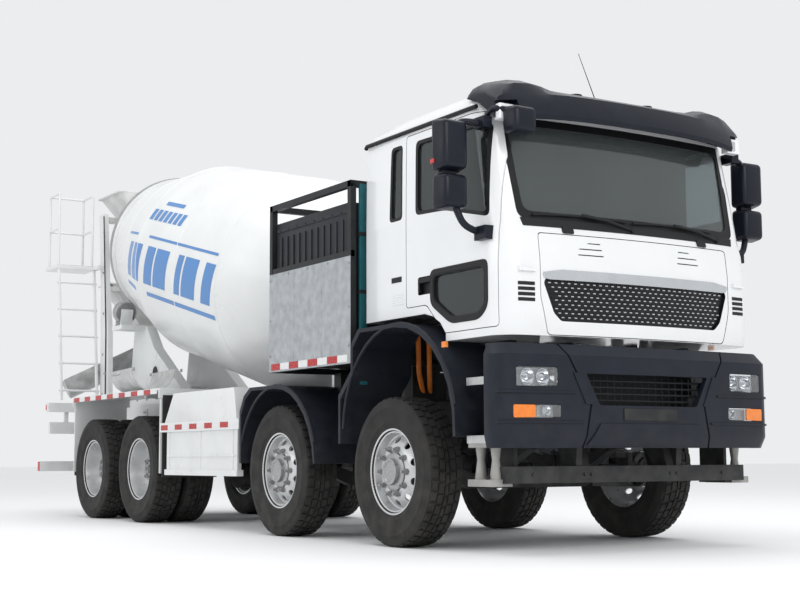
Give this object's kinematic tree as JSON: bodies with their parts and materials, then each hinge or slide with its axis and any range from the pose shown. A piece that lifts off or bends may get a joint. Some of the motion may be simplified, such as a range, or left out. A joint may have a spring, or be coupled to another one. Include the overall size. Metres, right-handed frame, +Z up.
{
  "type": "concrete mixer truck",
  "caption": "Cab-over truck on steered front and driven rear axles, with a tilting cab, a battery rack and a sloping mixing drum with hoppers, chute and ladder.",
  "frame": {"origin": "the middle of the outline on the ground, under the truck", "axes": "+X forward, +Y the truck's left, +Z up"},
  "size_m": [9.7, 3, 3.9725],
  "materials": {
    "white_paint": "white enamel, satin to gloss",
    "charcoal_plastic": "grained charcoal plastic",
    "black_paint": "black chassis paint",
    "grey_paint": "grey enamel",
    "cast_steel": "machined and cast steel",
    "tyre_rubber": "black tyre rubber on a silver painted wheel",
    "window_glass": "green tinted safety glass",
    "seat_cloth": "dark seat cloth"
  },
  "bodies": {
    "chassis": {"chassis_frame": "black_paint", "front_axle_1": "black_paint", "front_axle_2": "black_paint", "rear_axle_3": "black_paint", "rear_axle_4": "black_paint", "rear_springs": "black_paint", "drive_line": "grey_paint", "rack_frame": "grey_paint", "battery_pack": "black_paint", "mixer_subframe": "white_paint", "front_pedestal": "white_paint", "drum_gearbox": "cast_steel", "rear_pedestal": "white_paint", "rear_tower": "white_paint", "charge_hopper": "white_paint", "discharge_hopper": "white_paint", "ladder_platform": "white_paint", "spare_chute": "white_paint", "rear_fenders": "white_paint", "side_guard_right": "white_paint", "side_guard_left": "white_paint", "mudguards_1": "charcoal_plastic", "mudguards_2": "charcoal_plastic", "tail_frame": "white_paint", "bumper": "charcoal_plastic", "front_underrun": "black_paint"},
    "cab": {"cab_shell": "white_paint", "windscreen": "window_glass", "quarter_glass_right": "window_glass", "quarter_glass_left": "window_glass", "sun_visor": "charcoal_plastic", "dashboard": "charcoal_plastic", "seats": "seat_cloth"},
    "front_flap": {"front_panel": "white_paint", "grille": "black_paint"},
    "door_right": {"door_right": "white_paint", "door_glass_right": "window_glass", "low_glass_right": "window_glass", "mirror_right": "charcoal_plastic"},
    "door_left": {"door_left": "white_paint", "door_glass_left": "window_glass", "low_glass_left": "window_glass", "mirror_left": "charcoal_plastic"},
    "drum": {"drum": "white_paint"},
    "roller_right": {"roller_right": "cast_steel"},
    "roller_left": {"roller_left": "cast_steel"},
    "chute_swing": {"chute_post": "white_paint"},
    "main_chute": {"main_chute": "white_paint"},
    "knuckle_1_right": {"knuckle_1_right": "cast_steel"},
    "knuckle_1_left": {"knuckle_1_left": "cast_steel"},
    "knuckle_2_right": {"knuckle_2_right": "cast_steel"},
    "knuckle_2_left": {"knuckle_2_left": "cast_steel"},
    "wheel_1_right": {"wheel_1_right": "tyre_rubber"},
    "wheel_1_left": {"wheel_1_left": "tyre_rubber"},
    "wheel_2_right": {"wheel_2_right": "tyre_rubber"},
    "wheel_2_left": {"wheel_2_left": "tyre_rubber"},
    "wheel_3_right": {"wheel_3_right": "tyre_rubber"},
    "wheel_3_left": {"wheel_3_left": "tyre_rubber"},
    "wheel_4_right": {"wheel_4_right": "tyre_rubber"},
    "wheel_4_left": {"wheel_4_left": "tyre_rubber"}
  },
  "joints": [
    {"name": "steer_1_right", "type": "hinge", "parent": "chassis", "child": "knuckle_1_right", "pos_m": [3.42, -0.9, 0.541], "axis": [0, 0, 1], "range_deg": [-32, 32]},
    {"name": "spin_1_right", "type": "hinge", "parent": "knuckle_1_right", "child": "wheel_1_right", "pos_m": [3.42, -1.085, 0.541], "axis": [0, 1, 0], "continuous": true},
    {"name": "steer_1_left", "type": "hinge", "parent": "chassis", "child": "knuckle_1_left", "pos_m": [3.42, 0.9, 0.541], "axis": [0, 0, 1], "range_deg": [-32, 32]},
    {"name": "spin_1_left", "type": "hinge", "parent": "knuckle_1_left", "child": "wheel_1_left", "pos_m": [3.42, 1.085, 0.541], "axis": [0, 1, 0], "continuous": true},
    {"name": "steer_2_right", "type": "hinge", "parent": "chassis", "child": "knuckle_2_right", "pos_m": [1.62, -0.9, 0.541], "axis": [0, 0, 1], "range_deg": [-21.76, 21.76]},
    {"name": "spin_2_right", "type": "hinge", "parent": "knuckle_2_right", "child": "wheel_2_right", "pos_m": [1.62, -1.085, 0.541], "axis": [0, 1, 0], "continuous": true},
    {"name": "steer_2_left", "type": "hinge", "parent": "chassis", "child": "knuckle_2_left", "pos_m": [1.62, 0.9, 0.541], "axis": [0, 0, 1], "range_deg": [-21.76, 21.76]},
    {"name": "spin_2_left", "type": "hinge", "parent": "knuckle_2_left", "child": "wheel_2_left", "pos_m": [1.62, 1.085, 0.541], "axis": [0, 1, 0], "continuous": true},
    {"name": "spin_3_right", "type": "hinge", "parent": "chassis", "child": "wheel_3_right", "pos_m": [-1.53, -0.9125, 0.541], "axis": [0, 1, 0], "continuous": true},
    {"name": "spin_3_left", "type": "hinge", "parent": "chassis", "child": "wheel_3_left", "pos_m": [-1.53, 0.9125, 0.541], "axis": [0, 1, 0], "continuous": true},
    {"name": "spin_4_right", "type": "hinge", "parent": "chassis", "child": "wheel_4_right", "pos_m": [-2.88, -0.9125, 0.541], "axis": [0, 1, 0], "continuous": true},
    {"name": "spin_4_left", "type": "hinge", "parent": "chassis", "child": "wheel_4_left", "pos_m": [-2.88, 0.9125, 0.541], "axis": [0, 1, 0], "continuous": true},
    {"name": "drum_spin", "type": "hinge", "parent": "chassis", "child": "drum", "pos_m": [0.92, 0, 2.1], "axis": [-0.9728, 0, 0.2317], "continuous": true},
    {"name": "roller_spin_right", "type": "hinge", "parent": "chassis", "child": "roller_right", "pos_m": [-3.56202, -0.61435, 2.35943], "axis": [-0.9728, 0, 0.2317], "continuous": true},
    {"name": "roller_spin_left", "type": "hinge", "parent": "chassis", "child": "roller_left", "pos_m": [-3.56202, 0.61435, 2.35943], "axis": [-0.9728, 0, 0.2317], "continuous": true},
    {"name": "chute_slew", "type": "hinge", "parent": "chassis", "child": "chute_swing", "pos_m": [-4.35, 0, 1.5411], "axis": [0, 0, 1], "range_deg": [-150, 0]},
    {"name": "chute_tilt", "type": "hinge", "parent": "chute_swing", "child": "main_chute", "pos_m": [-4.37071, -0.07727, 2.06], "axis": [0.9659, -0.2588, 0], "range_deg": [-25, 0]},
    {"name": "cab_tilt", "type": "hinge", "parent": "chassis", "child": "cab", "pos_m": [4.74, 0, 1.02], "axis": [0, 1, 0], "range_deg": [0, 45]},
    {"name": "front_flap_hinge", "type": "hinge", "parent": "cab", "child": "front_flap", "pos_m": [4.747, 0, 2.122], "axis": [0, -1, 0], "range_deg": [0, 80]},
    {"name": "door_hinge_right", "type": "hinge", "parent": "cab", "child": "door_right", "pos_m": [4.632, -1.145, 1.5], "axis": [0, 0, 1], "range_deg": [0, 70]},
    {"name": "door_hinge_left", "type": "hinge", "parent": "cab", "child": "door_left", "pos_m": [4.632, 1.145, 1.5], "axis": [0, 0, -1], "range_deg": [0, 70]}
  ],
  "couplings": [
    {"joint": "steer_1_left", "follows": "steer_1_right", "ratio": 1},
    {"joint": "steer_2_right", "follows": "steer_1_right", "ratio": 0.68},
    {"joint": "steer_2_left", "follows": "steer_1_right", "ratio": 0.68},
    {"joint": "roller_spin_right", "follows": "drum_spin", "ratio": -6.6154},
    {"joint": "roller_spin_left", "follows": "drum_spin", "ratio": -6.6154}
  ]
}
